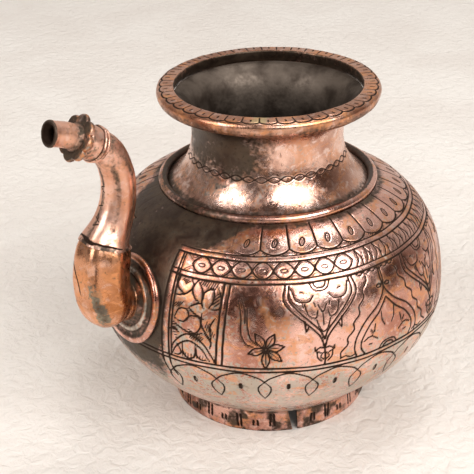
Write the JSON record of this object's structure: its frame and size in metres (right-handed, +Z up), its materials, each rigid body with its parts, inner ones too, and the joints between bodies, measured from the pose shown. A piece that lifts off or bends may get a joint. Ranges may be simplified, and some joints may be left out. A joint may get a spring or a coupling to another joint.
{
  "type": "water jug",
  "caption": "Round-bellied engraved copper water jug with a wide rolled rim, a flared neck and a swan-neck spout that ends in a petal flange and a short tip",
  "frame": {"origin": "on the ground under the middle of the whole jug's bounding box, spout included", "axes": "+Z up; the spout points towards -X; the jug's own axis of revolution is the vertical line x = 0.02056 m, y = 0"},
  "size_m": [0.2572, 0.216, 0.2204],
  "materials": {
    "copper_body": "satin",
    "copper_rim": "satin",
    "copper_spout": "satin",
    "dark_copper": "satin"
  },
  "bodies": {
    "root": {"foot_ring": "copper_body", "lower_bowl": "copper_body", "upper_bowl": "copper_body", "neck_base_bead": "copper_body", "neck": "copper_body", "rim_ring": "copper_rim", "spout_flange": "dark_copper", "spout_bulb": "copper_spout", "spout_tube": "copper_spout", "spout_collar": "copper_spout", "spout_petal_flange": "dark_copper", "spout_tip": "copper_spout"}
  },
  "joints": []
}
